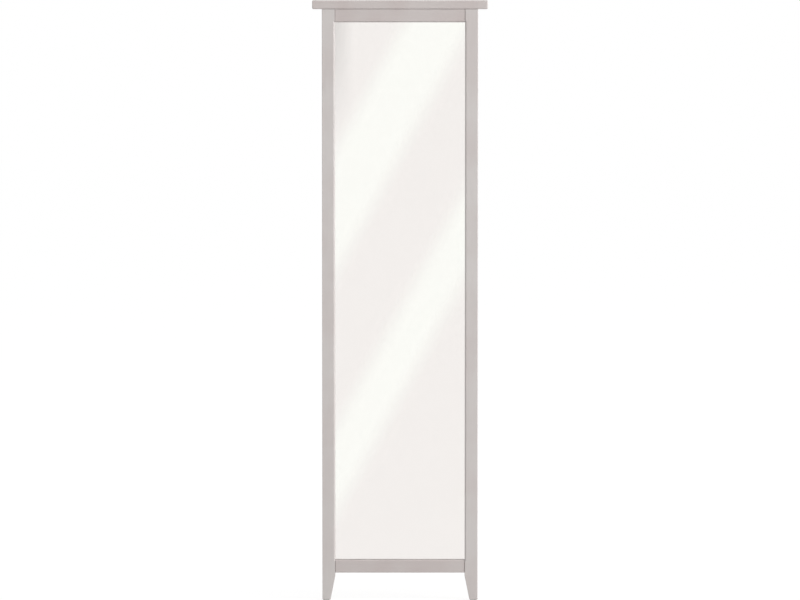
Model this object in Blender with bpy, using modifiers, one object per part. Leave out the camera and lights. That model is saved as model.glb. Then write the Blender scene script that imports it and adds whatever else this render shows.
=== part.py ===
"""Hallway mirror panel: a tall framed mirror that stands on two tapered feet against a wall.

Units are metres and +Z is up. X runs across the panel, -Y is the front and +Y the wall.
The floor is Z = 0, and the origin is the middle of the panel's footprint.
"""

import math

import bmesh
import bpy
from mathutils import Matrix, Vector

OBJECT_NAME = "hallway_mirror_panel"
CUTTERS_NAME = "cutters"

# The frame as seen from the front
PANEL_HEIGHT = 1.900
FRAME_WIDTH = 0.492
STILE_WIDTH = 0.041
TOP_RAIL_HEIGHT = 0.041
BOTTOM_RAIL_HEIGHT = 0.041
LEG_HEIGHT = 0.088
FOOT_WIDTH = 0.026
TAPER_HEIGHT = 0.077
CAP_THICKNESS = 0.028
CAP_END_OVERHANG = 0.0305
CAP_FRONT_OVERHANG = 0.001

# The layers across the depth, from the front of the stiles to the wall
RAIL_SETBACK = 0.001
RAIL_LIP = 0.010
GLASS_THICKNESS = 0.004
BACKING_THICKNESS = 0.0004
TAPE_THICKNESS = 0.001
BACK_PANEL_THICKNESS = 0.003
RAIL_BACK_REVEAL = 0.0024
WALL_HOLLOW = 0.012

# The stepped rebate that takes the mirror and the back panel
MIRROR_REBATE = 0.008
PANEL_LEDGE = 0.009
EDGE_PLAY = 0.0015
BACKING_INSET = 0.001
GLASS_ARRIS = 0.0005

# Clearance between pieces that touch, and the glue room past a dowel's end
FIT = 0.0003
DOWEL_END_GAP = 0.001

# Rounded edges, and the chamfer run round the opening after the frame is joined
CAP_TOP_RADIUS = 0.0035
CAP_BOTTOM_RADIUS = 0.004
CAP_CORNER_RADIUS = 0.003
JOINT_EDGE_RADIUS = 0.0015
STILE_OUTER_RADIUS = 0.002
RAIL_EDGE_RADIUS = 0.001
BACK_EDGE_RADIUS = 0.001
FOOT_END_RADIUS = 0.001
SIGHT_EDGE = 0.0042

# Mirror mounting
TAPE_COUNT = 4
TAPE_WIDTH = 0.025
TAPE_END_INSET = 0.100
BLOCK_THICKNESS = 0.0015
BLOCK_LENGTH = 0.030

# Dowels
DOWEL_DIAMETER = 0.008
RAIL_DOWEL_LENGTH = 0.050
CAP_DOWEL_LENGTH = 0.036
CAP_DOWEL_SPAN = 0.200
DOWEL_FLUTES = 10
FLUTE_DEPTH = 0.0003
DOWEL_CHAMFER = 0.001

# Screws that hold the back panel
BACK_SCREW_HEAD = 0.006
BACK_SCREW_SHANK = 0.003
BACK_SCREW_LENGTH = 0.012
BACK_SCREWS_PER_STILE = 5
BACK_SCREW_CORNER_INSET = 0.060
RAIL_SCREW_SPAN = 0.260
SCREW_RIM = 0.0003
SCREW_SINK = 0.0001

# Keyhole plates that hang the panel on two wall screws
PLATE_THICKNESS = 0.002
PLATE_HEIGHT = 0.024
PLATE_EAR = 0.026
PLATE_TOP_INSET = 0.003
PLATE_SIDE_INSET = 0.004
PLATE_CORNER_RADIUS = 0.004
KEYHOLE_ENTRY = 0.010
KEYHOLE_SLOT = 0.005
KEYHOLE_RISE = 0.007
HANGER_SCREW_HEAD = 0.0065
HANGER_SCREW_SHANK = 0.0035
HANGER_SCREW_LENGTH = 0.016

# Felt pads under the feet
PAD_THICKNESS = 0.0025
PAD_INSET = 0.002

# Mesh detail
ROUND_SIDES = 16
ARC_STEPS = 6
EASED_SEGMENTS = 4
MERGE_DISTANCE = 0.00001
CUT_OVERRUN = 0.003
SHARP_ANGLE = math.radians(35)
FLAT_ANGLE = math.radians(0.1)

# Planes across the depth, worked out from the layers
STILE_DEPTH = (RAIL_SETBACK + RAIL_LIP + GLASS_THICKNESS + BACKING_THICKNESS + TAPE_THICKNESS
               + BACK_PANEL_THICKNESS + 4 * FIT + RAIL_BACK_REVEAL + WALL_HOLLOW)
WALL_Y = (STILE_DEPTH + CAP_FRONT_OVERHANG) / 2
CAP_FRONT_Y = -WALL_Y
STILE_FRONT_Y = WALL_Y - STILE_DEPTH
RAIL_FRONT_Y = STILE_FRONT_Y + RAIL_SETBACK
REBATE_Y = RAIL_FRONT_Y + RAIL_LIP
GLASS_Y = REBATE_Y + FIT
BACKING_Y = GLASS_Y + GLASS_THICKNESS + FIT
TAPE_Y = BACKING_Y + BACKING_THICKNESS + FIT
LEDGE_Y = TAPE_Y + TAPE_THICKNESS
BACK_PANEL_Y = LEDGE_Y + FIT
BACK_PANEL_BACK_Y = BACK_PANEL_Y + BACK_PANEL_THICKNESS
RAIL_BACK_Y = BACK_PANEL_BACK_Y + RAIL_BACK_REVEAL

# Heights and half widths
CAP_BOTTOM_Z = PANEL_HEIGHT - CAP_THICKNESS
FRAME_TOP_Z = CAP_BOTTOM_Z - FIT
STILE_BOTTOM_Z = PAD_THICKNESS + FIT
OPENING_TOP_Z = FRAME_TOP_Z - TOP_RAIL_HEIGHT
OPENING_BOTTOM_Z = LEG_HEIGHT + BOTTOM_RAIL_HEIGHT
INNER_X = FRAME_WIDTH / 2 - STILE_WIDTH
PANEL_REBATE = MIRROR_REBATE + PANEL_LEDGE
LEDGE_MIDDLE = MIRROR_REBATE + PANEL_LEDGE / 2

# The glass, which stands on its setting blocks
GLASS_HALF_WIDTH = INNER_X + MIRROR_REBATE - EDGE_PLAY
GLASS_BOTTOM_Z = OPENING_BOTTOM_Z - MIRROR_REBATE + BLOCK_THICKNESS + 2 * FIT
GLASS_TOP_Z = OPENING_TOP_Z + MIRROR_REBATE - EDGE_PLAY

# Rotations that lay a fastener's own Z axis along the panel's X or Y
ALONG_X = (0.0, math.radians(90), 0.0)
HEAD_TO_WALL = (math.radians(-90), 0.0, 0.0)
UPRIGHT = (0.0, 0.0, 0.0)

SIDES = {"left": -1, "right": 1}
BOX_SIDES = (("left", "right"), ("front", "back"), ("bottom", "top"))

# Pairs sit at the quarter points of their piece, and single fasteners at a share of the stile's width
ROWS = {"lower": 0.25, "upper": 0.75}
CAP_DOWEL_SHARE = 0.25
HANGER_SCREW_SHARE = 0.75

# Colour (sRGB, 0 to 255), roughness, metallic and transmission of each finish
FINISHES = {
    "grey_lacquer": ((200, 194, 191), 0.45, 0.0, 0.0),
    "clear_glass": ((236, 243, 240), 0.02, 0.0, 1.0),
    "silver_backing": ((232, 232, 230), 0.04, 1.0, 0.0),
    "foam_tape": ((232, 230, 222), 0.85, 0.0, 0.0),
    "soft_block": ((52, 52, 54), 0.80, 0.0, 0.0),
    "fibreboard": ((139, 106, 76), 0.75, 0.0, 0.0),
    "beech": ((206, 172, 130), 0.65, 0.0, 0.0),
    "zinc_steel": ((190, 192, 194), 0.32, 1.0, 0.0),
    "felt": ((195, 192, 187), 0.95, 0.0, 0.0),
}


def start_scene():
    """Empty the scene and make the collections and the empty that carries every piece."""
    for item in list(bpy.data.objects):
        bpy.data.objects.remove(item, do_unlink=True)
    for name in (OBJECT_NAME, CUTTERS_NAME):
        old = bpy.data.collections.get(name)
        if old:
            bpy.data.collections.remove(old)
        bpy.context.scene.collection.children.link(bpy.data.collections.new(name))
    root = bpy.data.objects.new(OBJECT_NAME, None)
    bpy.data.collections[OBJECT_NAME].objects.link(root)


def linear(level):
    """Linear value of an sRGB level from 0 to 255."""
    share = level / 255
    if share <= 0.04045:
        return share / 12.92
    return ((share + 0.055) / 1.055) ** 2.4


def finish_material(name):
    """The material of a finish, made when it is first asked for."""
    material = bpy.data.materials.get(name)
    if material:
        return material
    colour, roughness, metallic, transmission = FINISHES[name]
    material = bpy.data.materials.new(name)
    material.use_nodes = True
    shader = material.node_tree.nodes["Principled BSDF"]
    shader.inputs["Base Color"].default_value = (*(linear(level) for level in colour), 1.0)
    shader.inputs["Roughness"].default_value = roughness
    shader.inputs["Metallic"].default_value = metallic
    shader.inputs["Transmission Weight"].default_value = transmission
    material.diffuse_color = shader.inputs["Base Color"].default_value
    return material


def add_piece(name, mesh, place, finish, turn=UPRIGHT):
    """Put a piece of the panel at its place, carried by the panel's empty."""
    piece = bpy.data.objects.new(name, mesh)
    piece.location = place
    piece.rotation_euler = turn
    piece.parent = bpy.data.objects[OBJECT_NAME]
    if not mesh.materials:
        mesh.materials.append(finish_material(finish))
    bpy.data.collections[OBJECT_NAME].objects.link(piece)
    return piece


def add_cutter(name, mesh, place, turn=UPRIGHT):
    """Put a cutting shape at its place, kept out of the finished model."""
    cutter = bpy.data.objects.new(name, mesh)
    cutter.location = place
    cutter.rotation_euler = turn
    cutter.hide_render = True
    cutter.display_type = "WIRE"
    bpy.data.collections[CUTTERS_NAME].objects.link(cutter)
    return cutter


def cut(piece, cutter):
    """Take a cutter's shape out of a piece, in one cut with the piece's other cutters."""
    name = f"{piece.name}_cuts"
    cuts = bpy.data.collections.get(name)
    if not cuts:
        cuts = bpy.data.collections.new(name)
        bpy.data.collections[CUTTERS_NAME].children.link(cuts)
        boolean = piece.modifiers.new(name, "BOOLEAN")
        boolean.operation = "DIFFERENCE"
        boolean.solver = "EXACT"
        boolean.operand_type = "COLLECTION"
        boolean.collection = cuts
    cuts.objects.link(cutter)


def mesh_from(bm, name):
    """Close a bmesh into a new mesh."""
    mesh = bpy.data.meshes.new(name)
    bm.to_mesh(mesh)
    bm.free()
    return mesh


def evaluated_mesh(holder):
    """Mesh of a curve or of an object with modifiers; the holder is removed."""
    bpy.context.scene.collection.objects.link(holder)
    graph = bpy.context.evaluated_depsgraph_get()
    mesh = bpy.data.meshes.new_from_object(holder.evaluated_get(graph))
    bpy.data.objects.remove(holder)
    return mesh


def shade_round(mesh):
    """Smooth shading, with true corners kept sharp."""
    mesh.shade_smooth()
    mesh.set_sharp_from_angle(angle=SHARP_ANGLE)
    return mesh


def box_mesh(name, size):
    """Box of the given X, Y and Z sizes about its own origin."""
    bm = bmesh.new()
    bmesh.ops.create_cube(bm, size=1.0)
    bmesh.ops.scale(bm, vec=size, verts=bm.verts)
    return mesh_from(bm, name)


def prism_mesh(name, outlines, thickness):
    """Closed X-Z outlines, the first with the others as holes, given a thickness about Y = 0."""
    curve = bpy.data.curves.new(name, "CURVE")
    curve.dimensions = "2D"
    curve.fill_mode = "BOTH"
    curve.extrude = thickness / 2
    for outline in outlines:
        spline = curve.splines.new("POLY")
        spline.points.add(len(outline) - 1)
        spline.use_cyclic_u = True
        for point, (across, up) in zip(spline.points, outline):
            point.co = (across, up, 0.0, 1.0)
    mesh = evaluated_mesh(bpy.data.objects.new(name, curve))
    bm = bmesh.new()
    bm.from_mesh(mesh)
    bmesh.ops.remove_doubles(bm, verts=bm.verts, dist=MERGE_DISTANCE)
    bmesh.ops.rotate(bm, verts=bm.verts, matrix=Matrix.Rotation(math.radians(90), 3, "X"))
    bmesh.ops.dissolve_limit(bm, angle_limit=FLAT_ANGLE, verts=bm.verts, edges=bm.edges)
    bmesh.ops.recalc_face_normals(bm, faces=bm.faces)
    return mesh_from(bm, name)


def turned_mesh(name, profile):
    """Solid turned about Z from (radius, height) points that run from its top to its bottom."""
    line = bpy.data.meshes.new(name)
    points = [(radius, 0.0, height) for radius, height in profile]
    line.from_pydata(points, [(i, i + 1) for i in range(len(points) - 1)], [])
    holder = bpy.data.objects.new(name, line)
    turn = holder.modifiers.new("turn", "SCREW")
    turn.steps = ROUND_SIDES
    turn.render_steps = ROUND_SIDES
    turn.use_merge_vertices = True
    turn.merge_threshold = MERGE_DISTANCE
    return shade_round(evaluated_mesh(holder))


def dowel_mesh(name, length):
    """Fluted dowel about its middle, along Z, with chamfered ends."""
    bm = bmesh.new()
    radius = DOWEL_DIAMETER / 2
    bmesh.ops.create_cone(bm, cap_ends=True, segments=2 * DOWEL_FLUTES, radius1=radius, radius2=radius,
                          depth=length - 2 * DOWEL_CHAMFER)
    for vert in bm.verts:
        step = round(math.atan2(vert.co.y, vert.co.x) / (math.pi / DOWEL_FLUTES))
        if step % 2:
            vert.co.xy *= (radius - FLUTE_DEPTH) / radius
    ends = [face for face in bm.faces if len(face.verts) > 4]
    bmesh.ops.inset_individual(bm, faces=ends, thickness=DOWEL_CHAMFER, depth=DOWEL_CHAMFER)
    return mesh_from(bm, name)


def hole_mesh(name, diameter, depth):
    """Round hole about its middle, along Z."""
    bm = bmesh.new()
    bmesh.ops.create_cone(bm, cap_ends=True, segments=ROUND_SIDES, radius1=diameter / 2,
                          radius2=diameter / 2, depth=depth)
    return mesh_from(bm, name)


def screw_profile(head, shank, length, clearance=0.0, overrun=0.0):
    """Half profile of a countersunk screw with its head's top at height 0, or of the hole for it."""
    head_radius = head / 2 + clearance
    shank_radius = shank / 2 + clearance
    cone_end = -SCREW_RIM - (head_radius - shank_radius)
    return [
        (0.0, overrun),
        (head_radius, overrun),
        (head_radius, -SCREW_RIM),
        (shank_radius, cone_end),
        (shank_radius, shank - length),
        (0.0, -length - clearance),
    ]


def arc(center, radius, start, end, steps=ARC_STEPS):
    """Points of an arc between two angles in degrees."""
    points = []
    for step in range(steps + 1):
        angle = math.radians(start + (end - start) * step / steps)
        points.append((center[0] + radius * math.cos(angle), center[1] + radius * math.sin(angle)))
    return points


def rounded_rectangle(width, height, radius):
    """Outline of a rectangle about the origin with round corners."""
    points = []
    for quarter, (right, top) in enumerate(((1, 1), (-1, 1), (-1, -1), (1, -1))):
        center = (right * (width / 2 - radius), top * (height / 2 - radius))
        points += arc(center, radius, 90 * quarter, 90 * quarter + 90)
    return points


def keyhole_outline(across, up):
    """Outline of a keyhole whose round entry is centred on a point, with the slot above it."""
    entry_radius = KEYHOLE_ENTRY / 2
    slot_radius = KEYHOLE_SLOT / 2
    neck = math.degrees(math.acos(slot_radius / entry_radius))
    entry = arc((across, up), entry_radius, neck, -180 - neck, 3 * ARC_STEPS)
    slot_end = arc((across, up + KEYHOLE_RISE), slot_radius, 180, 0)
    return entry + slot_end


def ease_edges(piece, radii):
    """Round a board's edges. Each key of radii names the sides of the board that the edge lies on."""
    mesh = piece.data
    corners = [vertex.co for vertex in mesh.vertices]
    low = [min(corner[axis] for corner in corners) for axis in range(3)]
    high = [max(corner[axis] for corner in corners) for axis in range(3)]
    largest = max(radii.values())
    wanted = {frozenset(key.split()): radius / largest for key, radius in radii.items()}
    weights = mesh.attributes.new("bevel_weight_edge", "FLOAT", "EDGE")
    for edge in mesh.edges:
        ends = [corners[index] for index in edge.vertices]
        sides = set()
        for axis, names in enumerate(BOX_SIDES):
            for name, limit in zip(names, (low[axis], high[axis])):
                if all(abs(end[axis] - limit) < MERGE_DISTANCE for end in ends):
                    sides.add(name)
        weights.data[edge.index].value = wanted.get(frozenset(sides), 0.0)
    bevel = piece.modifiers.new("eased edges", "BEVEL")
    bevel.limit_method = "WEIGHT"
    bevel.width = largest
    bevel.segments = EASED_SEGMENTS


def add_board(name, low, high, finish):
    """A box-shaped piece between two opposite corners."""
    low = Vector(low)
    high = Vector(high)
    return add_piece(name, box_mesh(name, high - low), (low + high) / 2, finish)


def build_stile(name, side):
    """An upright with its rounded edges and the foot that tapers on the inner side."""
    inner, outer = ("left", "right") if side > 0 else ("right", "left")
    length = FRAME_TOP_Z - STILE_BOTTOM_Z
    outline = [
        (side * (STILE_WIDTH - FOOT_WIDTH), 0.0),
        (side * STILE_WIDTH, 0.0),
        (side * STILE_WIDTH, length),
        (0.0, length),
        (0.0, TAPER_HEIGHT - STILE_BOTTOM_Z),
    ]
    place = (side * INNER_X, (STILE_FRONT_Y + WALL_Y) / 2, STILE_BOTTOM_Z)
    stile = add_piece(name, prism_mesh(name, [outline], STILE_DEPTH), place, "grey_lacquer")
    ease_edges(stile, {
        f"front {inner}": JOINT_EDGE_RADIUS,
        "front": JOINT_EDGE_RADIUS,
        f"front {outer}": STILE_OUTER_RADIUS,
        f"back {inner}": BACK_EDGE_RADIUS,
        "back": BACK_EDGE_RADIUS,
        f"back {outer}": BACK_EDGE_RADIUS,
        "front bottom": FOOT_END_RADIUS,
        "back bottom": FOOT_END_RADIUS,
        f"bottom {outer}": FOOT_END_RADIUS,
        "bottom": FOOT_END_RADIUS,
    })
    return stile


def build_rail(name, bottom, top, outer_edge):
    """A cross member between the stiles; outer_edge names its edge away from the mirror."""
    reach = INNER_X - FIT
    rail = add_board(name, (-reach, RAIL_FRONT_Y, bottom), (reach, RAIL_BACK_Y, top), "grey_lacquer")
    ease_edges(rail, {
        f"front {outer_edge}": RAIL_EDGE_RADIUS,
        "front left": JOINT_EDGE_RADIUS,
        "front right": JOINT_EDGE_RADIUS,
        f"back {outer_edge}": BACK_EDGE_RADIUS,
    })
    return rail


def build_cap():
    """The board on top of the frame, rounded at its front and ends and flat to the wall."""
    reach = FRAME_WIDTH / 2 + CAP_END_OVERHANG
    cap = add_board("cap_board", (-reach, CAP_FRONT_Y, CAP_BOTTOM_Z), (reach, WALL_Y, PANEL_HEIGHT),
                    "grey_lacquer")
    ease_edges(cap, {
        "front top": CAP_TOP_RADIUS,
        "left top": CAP_TOP_RADIUS,
        "right top": CAP_TOP_RADIUS,
        "front bottom": CAP_BOTTOM_RADIUS,
        "left bottom": CAP_BOTTOM_RADIUS,
        "right bottom": CAP_BOTTOM_RADIUS,
        "front left": CAP_CORNER_RADIUS,
        "front right": CAP_CORNER_RADIUS,
        "back top": BACK_EDGE_RADIUS,
    })
    return cap


def rebate_frame(members):
    """Run the stepped rebate round the opening: a narrow step for the mirror, a wide one for the panel."""
    steps = (("mirror_rebate", MIRROR_REBATE, REBATE_Y), ("panel_rebate", PANEL_REBATE, LEDGE_Y))
    for name, width, front in steps:
        low = Vector((-INNER_X - width, front, OPENING_BOTTOM_Z - width))
        high = Vector((INNER_X + width, WALL_Y + CUT_OVERRUN, OPENING_TOP_Z + width))
        cutter = add_cutter(name, box_mesh(name, high - low), (low + high) / 2)
        for member in members:
            cut(member, cutter)


def chamfer_opening(members):
    """Run the sight edge round the opening: a chamfer that stops, mitred, just past its corners."""
    front = STILE_FRONT_Y - CUT_OVERRUN
    back = STILE_FRONT_Y + SIGHT_EDGE + CUT_OVERRUN
    wide = SIGHT_EDGE + CUT_OVERRUN
    height = OPENING_TOP_Z - OPENING_BOTTOM_Z
    bm = bmesh.new()
    bmesh.ops.create_cube(bm, size=1.0)
    for vert in bm.verts:
        margin = wide if vert.co.y < 0 else -CUT_OVERRUN
        vert.co.x *= 2 * (INNER_X + margin)
        vert.co.y *= back - front
        vert.co.z *= height + 2 * margin
    place = (0.0, (front + back) / 2, (OPENING_TOP_Z + OPENING_BOTTOM_Z) / 2)
    cutter = add_cutter("sight_edge", mesh_from(bm, "sight_edge"), place)
    for member in members:
        cut(member, cutter)


def build_mirror():
    """The glass with seamed edges, its silver backing, and the tape and blocks that hold it."""
    glass = add_board("mirror_glass", (-GLASS_HALF_WIDTH, GLASS_Y, GLASS_BOTTOM_Z),
                      (GLASS_HALF_WIDTH, GLASS_Y + GLASS_THICKNESS, GLASS_TOP_Z), "clear_glass")
    arris = glass.modifiers.new("seamed edges", "BEVEL")
    arris.width = GLASS_ARRIS
    arris.segments = 1
    half_width = GLASS_HALF_WIDTH - BACKING_INSET
    add_board("mirror_silver_backing", (-half_width, BACKING_Y, GLASS_BOTTOM_Z + BACKING_INSET),
              (half_width, BACKING_Y + BACKING_THICKNESS, GLASS_TOP_Z - BACKING_INSET), "silver_backing")
    pitch = 2 * GLASS_HALF_WIDTH / TAPE_COUNT
    for index in range(TAPE_COUNT):
        left = (index + 0.5) * pitch - GLASS_HALF_WIDTH - TAPE_WIDTH / 2
        add_board(f"mounting_tape_{index + 1}", (left, TAPE_Y, GLASS_BOTTOM_Z + TAPE_END_INSET),
                  (left + TAPE_WIDTH, TAPE_Y + TAPE_THICKNESS, GLASS_TOP_Z - TAPE_END_INSET), "foam_tape")
    for word, side in SIDES.items():
        left = side * GLASS_HALF_WIDTH / 2 - BLOCK_LENGTH / 2
        bottom = GLASS_BOTTOM_Z - FIT - BLOCK_THICKNESS
        add_board(f"setting_block_{word}", (left, GLASS_Y, bottom),
                  (left + BLOCK_LENGTH, GLASS_Y + GLASS_THICKNESS, bottom + BLOCK_THICKNESS), "soft_block")


def build_back_panel():
    """The thin board that closes the frame from behind."""
    reach = PANEL_REBATE - EDGE_PLAY
    return add_board("back_panel", (-INNER_X - reach, BACK_PANEL_Y, OPENING_BOTTOM_Z - reach),
                     (INNER_X + reach, BACK_PANEL_BACK_Y, OPENING_TOP_Z + reach), "fibreboard")


def add_dowel(name, mesh, hole, place, turn, hosts):
    """A dowel across the joint of its two hosts, and its hole in both."""
    add_piece(name, mesh, place, "beech", turn)
    cutter = add_cutter(f"{name}_hole", hole, place, turn)
    for host in hosts:
        cut(host, cutter)


def dowel_rails(stiles, rails):
    """Two dowels in each end of each rail, at the quarter points of its full-thickness part."""
    mesh = dowel_mesh("rail_dowel", RAIL_DOWEL_LENGTH)
    hole = hole_mesh("rail_dowel_hole", DOWEL_DIAMETER + 2 * FIT, RAIL_DOWEL_LENGTH + 2 * DOWEL_END_GAP)
    middle_y = (RAIL_FRONT_Y + LEDGE_Y) / 2
    solid_zones = {
        "top": (OPENING_TOP_Z + MIRROR_REBATE, FRAME_TOP_Z),
        "bottom": (LEG_HEIGHT, OPENING_BOTTOM_Z - MIRROR_REBATE),
    }
    for rail_word, (low, high) in solid_zones.items():
        for word, side in SIDES.items():
            for row, share in ROWS.items():
                place = (side * INNER_X, middle_y, low + (high - low) * share)
                add_dowel(f"rail_dowel_{rail_word}_{word}_{row}", mesh, hole, place, ALONG_X,
                          (stiles[word], rails[rail_word]))


def dowel_cap(cap, stiles, top_rail):
    """One dowel from the cap into each stile, behind the rail dowels, and two into the top rail."""
    mesh = dowel_mesh("cap_dowel", CAP_DOWEL_LENGTH)
    hole = hole_mesh("cap_dowel_hole", DOWEL_DIAMETER + 2 * FIT, CAP_DOWEL_LENGTH + 2 * DOWEL_END_GAP)
    stile_y = (LEDGE_Y + WALL_Y - PLATE_THICKNESS) / 2
    rail_y = (RAIL_FRONT_Y + LEDGE_Y) / 2
    for word, side in SIDES.items():
        place = (side * (INNER_X + CAP_DOWEL_SHARE * STILE_WIDTH), stile_y, CAP_BOTTOM_Z)
        add_dowel(f"cap_dowel_stile_{word}", mesh, hole, place, UPRIGHT, (cap, stiles[word]))
        place = (side * CAP_DOWEL_SPAN / 2, rail_y, CAP_BOTTOM_Z)
        add_dowel(f"cap_dowel_rail_{word}", mesh, hole, place, UPRIGHT, (cap, top_rail))


def add_screw(name, mesh, hole, place, hosts):
    """A screw driven in from behind, and its countersunk hole in every host."""
    add_piece(name, mesh, place, "zinc_steel", HEAD_TO_WALL)
    cutter = add_cutter(f"{name}_hole", hole, place, HEAD_TO_WALL)
    for host in hosts:
        cut(host, cutter)


def screw_pair(name, head, shank, length):
    """Meshes of a screw and of the hole for it."""
    screw = turned_mesh(name, screw_profile(head, shank, length))
    hole = turned_mesh(f"{name}_hole", screw_profile(head, shank, length, FIT, CUT_OVERRUN))
    return screw, hole


def screw_back_panel(panel, stiles, rails):
    """Screws through the panel's margin into the ledge: a row up each stile and a pair on each rail."""
    screw, hole = screw_pair("back_screw", BACK_SCREW_HEAD, BACK_SCREW_SHANK, BACK_SCREW_LENGTH)
    head_y = BACK_PANEL_BACK_Y - SCREW_SINK
    lowest = OPENING_BOTTOM_Z + BACK_SCREW_CORNER_INSET
    highest = OPENING_TOP_Z - BACK_SCREW_CORNER_INSET
    places = []
    for word, side in SIDES.items():
        for index in range(BACK_SCREWS_PER_STILE):
            height = lowest + (highest - lowest) * index / (BACK_SCREWS_PER_STILE - 1)
            places.append(((side * (INNER_X + LEDGE_MIDDLE), head_y, height), stiles[word]))
    rail_rows = {"bottom": OPENING_BOTTOM_Z - LEDGE_MIDDLE, "top": OPENING_TOP_Z + LEDGE_MIDDLE}
    for rail_word, height in rail_rows.items():
        for side in SIDES.values():
            places.append(((side * RAIL_SCREW_SPAN / 2, head_y, height), rails[rail_word]))
    for number, (place, member) in enumerate(places, start=1):
        add_screw(f"back_screw_{number:02d}", screw, hole, place, (panel, member))


def build_hangers(stiles):
    """A keyhole plate let into the back of each stile, its ear over the hollow behind the top rail."""
    screw, hole = screw_pair("hanger_screw", HANGER_SCREW_HEAD, HANGER_SCREW_SHANK, HANGER_SCREW_LENGTH)
    base = STILE_WIDTH - PLATE_SIDE_INSET
    width = PLATE_EAR + base
    middle_z = FRAME_TOP_Z - PLATE_TOP_INSET - PLATE_HEIGHT / 2
    entry_drop = (KEYHOLE_RISE + KEYHOLE_SLOT / 2 - KEYHOLE_ENTRY / 2) / 2
    recess_outline = rounded_rectangle(width + 2 * FIT, PLATE_HEIGHT + 2 * FIT, PLATE_CORNER_RADIUS + FIT)
    recess = prism_mesh("hanger_recess", [recess_outline], PLATE_THICKNESS + FIT + CUT_OVERRUN)
    for word, side in SIDES.items():
        middle_x = side * (INNER_X + (base - PLATE_EAR) / 2)
        outlines = [
            rounded_rectangle(width, PLATE_HEIGHT, PLATE_CORNER_RADIUS),
            keyhole_outline(-side * base / 2, -entry_drop),
        ]
        name = f"hanger_plate_{word}"
        place = (middle_x, WALL_Y - PLATE_THICKNESS / 2, middle_z)
        plate = add_piece(name, prism_mesh(name, outlines, PLATE_THICKNESS), place, "zinc_steel")
        recess_y = WALL_Y + (CUT_OVERRUN - PLATE_THICKNESS - FIT) / 2
        cut(stiles[word], add_cutter(f"{name}_recess", recess, (middle_x, recess_y, middle_z)))
        screw_x = side * (INNER_X + HANGER_SCREW_SHARE * STILE_WIDTH)
        for row, share in ROWS.items():
            place = (screw_x, WALL_Y - SCREW_SINK, middle_z + (share - 0.5) * PLATE_HEIGHT)
            add_screw(f"hanger_screw_{word}_{row}", screw, hole, place, (plate, stiles[word]))


def build_foot_pads():
    """A felt pad under each foot, a little smaller than the foot's end."""
    for word, side in SIDES.items():
        middle_x = side * (FRAME_WIDTH - FOOT_WIDTH) / 2
        half_width = FOOT_WIDTH / 2 - PAD_INSET
        add_board(f"foot_pad_{word}", (middle_x - half_width, STILE_FRONT_Y + PAD_INSET, 0.0),
                  (middle_x + half_width, WALL_Y - PAD_INSET, PAD_THICKNESS), "felt")


def main():
    """Build the panel: frame, mirror, back, then the fasteners that cut their own holes."""
    start_scene()
    stiles = {word: build_stile(f"{word}_stile", side) for word, side in SIDES.items()}
    rails = {
        "top": build_rail("top_rail", OPENING_TOP_Z, FRAME_TOP_Z, "top"),
        "bottom": build_rail("bottom_rail", LEG_HEIGHT, OPENING_BOTTOM_Z, "bottom"),
    }
    cap = build_cap()
    members = (*stiles.values(), *rails.values())
    rebate_frame(members)
    chamfer_opening(members)
    build_mirror()
    panel = build_back_panel()
    dowel_rails(stiles, rails)
    dowel_cap(cap, stiles, rails["top"])
    screw_back_panel(panel, stiles, rails)
    build_hangers(stiles)
    build_foot_pads()


main()
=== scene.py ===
"""Looks of the hallway mirror panel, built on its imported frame.

The frame members, screws, plates and pads are modelled again with finer edges and stand for
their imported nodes. The pane, its backing, the back board and the hidden joinery keep their
nodes and get their finishes here. Units are metres, +Z is up and -Y is the front.
"""

import math
from collections import namedtuple

import bmesh
import bpy
from mathutils import Matrix, Vector


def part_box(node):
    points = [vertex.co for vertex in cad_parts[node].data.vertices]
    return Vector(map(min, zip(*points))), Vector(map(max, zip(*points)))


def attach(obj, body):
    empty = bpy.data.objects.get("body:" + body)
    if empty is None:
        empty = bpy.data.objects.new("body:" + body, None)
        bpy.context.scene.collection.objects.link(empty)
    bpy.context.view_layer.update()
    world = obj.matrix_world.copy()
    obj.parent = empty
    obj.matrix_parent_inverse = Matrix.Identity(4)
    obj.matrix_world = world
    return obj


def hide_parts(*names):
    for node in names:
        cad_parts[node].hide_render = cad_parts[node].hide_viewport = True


bl_info = {
    "name": "Hallway Mirror Panel",
    "version": (1, 0, 0),
    "blender": (4, 5, 0),
    "location": "View3D > Sidebar > Mirror Panel",
    "description": "Builds the looks of a tall hallway mirror panel on its packed frame",
    "category": "Object",
}

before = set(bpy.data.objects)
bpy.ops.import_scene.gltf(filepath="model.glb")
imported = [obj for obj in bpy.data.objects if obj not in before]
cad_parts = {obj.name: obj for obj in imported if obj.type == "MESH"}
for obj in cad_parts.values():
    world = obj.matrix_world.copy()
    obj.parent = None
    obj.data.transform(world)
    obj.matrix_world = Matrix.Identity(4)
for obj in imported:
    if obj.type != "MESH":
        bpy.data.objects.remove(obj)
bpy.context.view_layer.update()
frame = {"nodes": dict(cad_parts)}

BODY = "root"
SIDES = ("left", "right")
AXIS_X, AXIS_Y, AXIS_Z = range(3)
DIRECTIONS = (Vector((1, 0, 0)), Vector((0, 1, 0)), Vector((0, 0, 1)))
RIGHT_ANGLE = math.radians(90)
WHITE = (1.0, 1.0, 1.0)

# How close points have to be to count as one, and how nearly a direction has to follow an axis
NEAR = 1e-5
FACING = 0.9

# Angles between faces: flat below the first, shaded sharp from the second, rounded from the third
FLAT_ANGLE = math.radians(1)
SHARP_ANGLE = math.radians(35)
BEVEL_ANGLE = math.radians(40)

# Room between a fitting and the wood round it
CLEARANCE = 0.0003

# Fineness of the rounded edges
EASED_SEGMENTS = 5
CAP_SEGMENTS = 8
CORNER_SEGMENTS = 6
RIM_SEGMENTS = 3

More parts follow.
